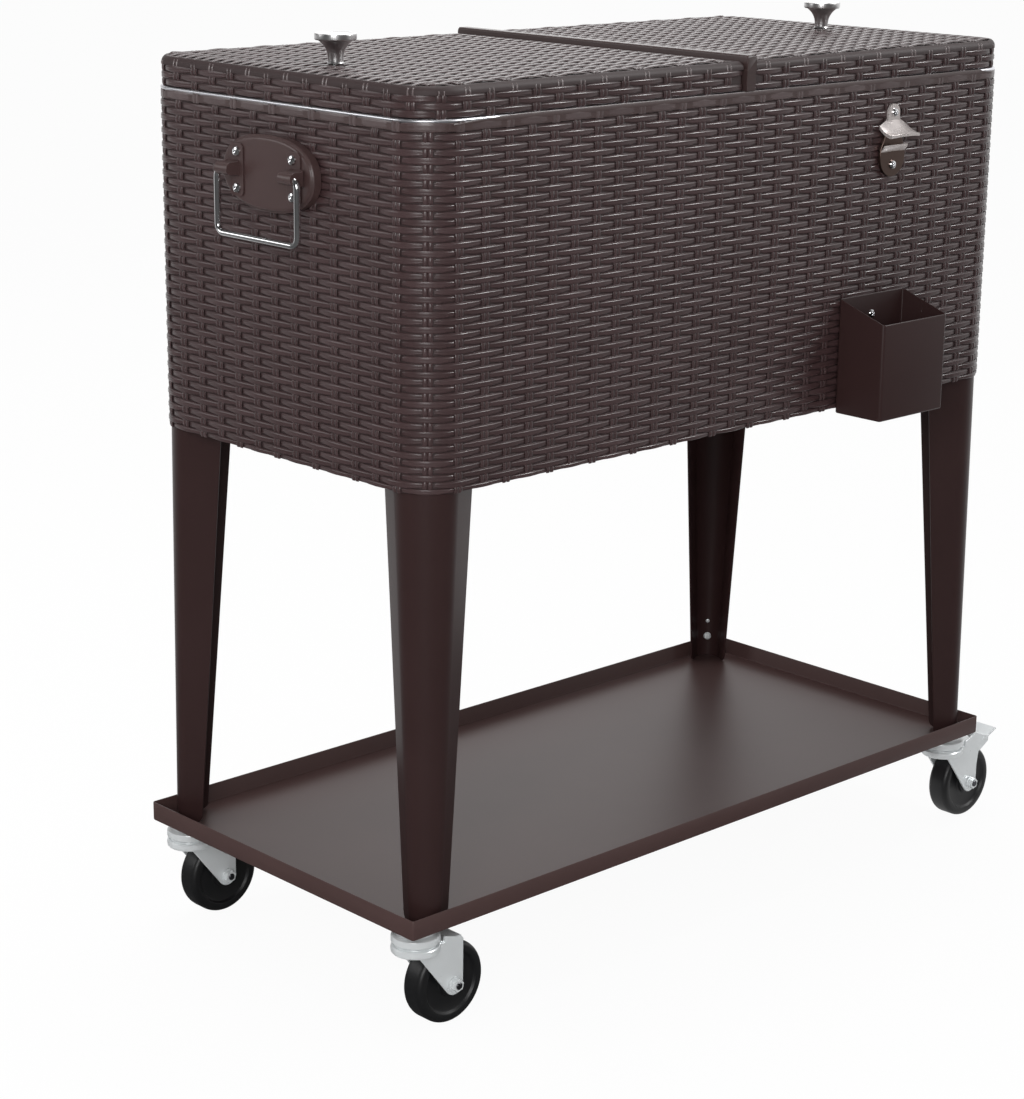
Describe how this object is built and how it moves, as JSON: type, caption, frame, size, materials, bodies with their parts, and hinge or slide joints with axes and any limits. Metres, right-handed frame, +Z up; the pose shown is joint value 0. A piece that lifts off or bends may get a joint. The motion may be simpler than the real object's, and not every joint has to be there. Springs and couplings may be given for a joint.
{
  "type": "rolling patio cooler",
  "caption": "Rolling patio cooler: insulated woven-look box with split lids hinged at a centre bar, side bails, bottle opener, cap box, tapered legs, shelf tray and casters.",
  "frame": {"origin": "on the floor under the middle of the whole object's bounding box at rest, with bails hanging and casters trailing towards +X", "axes": "+Z up; +X along the length, towards the casters that have brakes; the front, with the bottle opener and the cap box, faces -Y"},
  "size_m": [0.8878, 0.4484, 0.8763],
  "materials": {
    "woven_plastic": "moulded weave with a slight gloss",
    "brown_plastic": "satin",
    "liner_steel": "bright galvanised sheet",
    "foam": "matt foam",
    "pale_plastic": "matt moulded sheet",
    "black_rubber": "matt",
    "brown_steel": "satin powder coat",
    "chrome": "polished",
    "satin_steel": "satin",
    "zinc": "bright zinc plate",
    "wheel_plastic": "satin black"
  },
  "bodies": {
    "cart": {"base_pan": "brown_steel", "bottle_opener": "satin_steel", "cap_box": "brown_steel", "cap_box_screw": "chrome", "caster_race_back_left": "zinc", "caster_race_back_right": "zinc", "caster_race_front_left": "zinc", "caster_race_front_right": "zinc", "centre_bar": "brown_plastic", "drain_spigot": "black_rubber", "handle_ear_left_back": "brown_steel", "handle_ear_left_front": "brown_steel", "handle_ear_right_back": "brown_steel", "handle_ear_right_front": "brown_steel", "handle_plate_left": "brown_steel", "handle_plate_right": "brown_steel", "hinge_rod_left": "zinc", "hinge_rod_right": "zinc", "insulation_foam": "foam", "leg_back_left": "brown_steel", "leg_back_right": "brown_steel", "leg_front_left": "brown_steel", "leg_front_right": "brown_steel", "liner_floor": "liner_steel", "liner_tub": "liner_steel", "opener_screw_low": "chrome", "opener_screw_top": "chrome", "top_rim": "brown_plastic", "tray": "brown_steel", "wicker_shell": "woven_plastic"},
    "left_lid": {"lid_skin_left": "woven_plastic", "lid_pan_left": "pale_plastic", "lid_gasket_left": "black_rubber", "lid_foam_left": "foam", "knob_left": "satin_steel", "knob_screw_left": "zinc"},
    "left_bail": {"bail_left": "chrome"},
    "right_lid": {"lid_skin_right": "woven_plastic", "lid_pan_right": "pale_plastic", "lid_gasket_right": "black_rubber", "lid_foam_right": "foam", "knob_right": "satin_steel", "knob_screw_right": "zinc"},
    "right_bail": {"bail_right": "chrome"},
    "drain_cap": {"drain_cap": "black_rubber"},
    "front_left_fork": {"caster_fork_front_left": "zinc", "axle_front_left": "zinc"},
    "front_left_wheel": {"wheel_front_left": "wheel_plastic"},
    "front_right_fork": {"caster_fork_front_right": "zinc", "axle_front_right": "zinc"},
    "front_right_wheel": {"wheel_front_right": "wheel_plastic"},
    "front_right_pedal": {"brake_pedal_front_right": "zinc"},
    "back_left_fork": {"caster_fork_back_left": "zinc", "axle_back_left": "zinc"},
    "back_left_wheel": {"wheel_back_left": "wheel_plastic"},
    "back_right_fork": {"caster_fork_back_right": "zinc", "axle_back_right": "zinc"},
    "back_right_wheel": {"wheel_back_right": "wheel_plastic"},
    "back_right_pedal": {"brake_pedal_back_right": "zinc"}
  },
  "joints": [
    {"name": "left_lid_hinge", "type": "hinge", "parent": "cart", "child": "left_lid", "pos_m": [-0.03392, 0.02815, 0.843], "axis": [0, 1, 0], "range_deg": [0, 80]},
    {"name": "right_lid_hinge", "type": "hinge", "parent": "cart", "child": "right_lid", "pos_m": [-0.00392, 0.02815, 0.843], "axis": [0, -1, 0], "range_deg": [0, 80]},
    {"name": "left_bail_hinge", "type": "hinge", "parent": "cart", "child": "left_bail", "pos_m": [-0.43828, 0.02815, 0.7626], "axis": [0, 1, 0], "range_deg": [-15, 100]},
    {"name": "right_bail_hinge", "type": "hinge", "parent": "cart", "child": "right_bail", "pos_m": [0.40042, 0.02815, 0.7626], "axis": [0, -1, 0], "range_deg": [-15, 100]},
    {"name": "front_left_swivel", "type": "hinge", "parent": "cart", "child": "front_left_fork", "pos_m": [-0.40272, -0.141, 0.09], "axis": [0, 0, 1], "continuous": true},
    {"name": "front_left_roll", "type": "hinge", "parent": "front_left_fork", "child": "front_left_wheel", "pos_m": [-0.36962, -0.141, 0.0395], "axis": [0, 1, 0], "continuous": true},
    {"name": "front_right_swivel", "type": "hinge", "parent": "cart", "child": "front_right_fork", "pos_m": [0.36488, -0.141, 0.09], "axis": [0, 0, 1], "continuous": true},
    {"name": "front_right_roll", "type": "hinge", "parent": "front_right_fork", "child": "front_right_wheel", "pos_m": [0.39798, -0.141, 0.0395], "axis": [0, 1, 0], "continuous": true},
    {"name": "front_right_brake", "type": "hinge", "parent": "front_right_fork", "child": "front_right_pedal", "pos_m": [0.41887, -0.141, 0.08605], "axis": [0, 1, 0], "range_deg": [0, 12]},
    {"name": "back_left_swivel", "type": "hinge", "parent": "cart", "child": "back_left_fork", "pos_m": [-0.40272, 0.1973, 0.09], "axis": [0, 0, 1], "continuous": true},
    {"name": "back_left_roll", "type": "hinge", "parent": "back_left_fork", "child": "back_left_wheel", "pos_m": [-0.36962, 0.1973, 0.0395], "axis": [0, 1, 0], "continuous": true},
    {"name": "back_right_swivel", "type": "hinge", "parent": "cart", "child": "back_right_fork", "pos_m": [0.36488, 0.1973, 0.09], "axis": [0, 0, 1], "continuous": true},
    {"name": "back_right_roll", "type": "hinge", "parent": "back_right_fork", "child": "back_right_wheel", "pos_m": [0.39798, 0.1973, 0.0395], "axis": [0, 1, 0], "continuous": true},
    {"name": "back_right_brake", "type": "hinge", "parent": "back_right_fork", "child": "back_right_pedal", "pos_m": [0.41887, 0.1973, 0.08605], "axis": [0, 1, 0], "range_deg": [0, 12]},
    {"name": "drain_cap_turn", "type": "hinge", "parent": "cart", "child": "drain_cap", "pos_m": [-0.29892, 0.12815, 0.49], "axis": [0, 0, 1], "continuous": true}
  ]
}
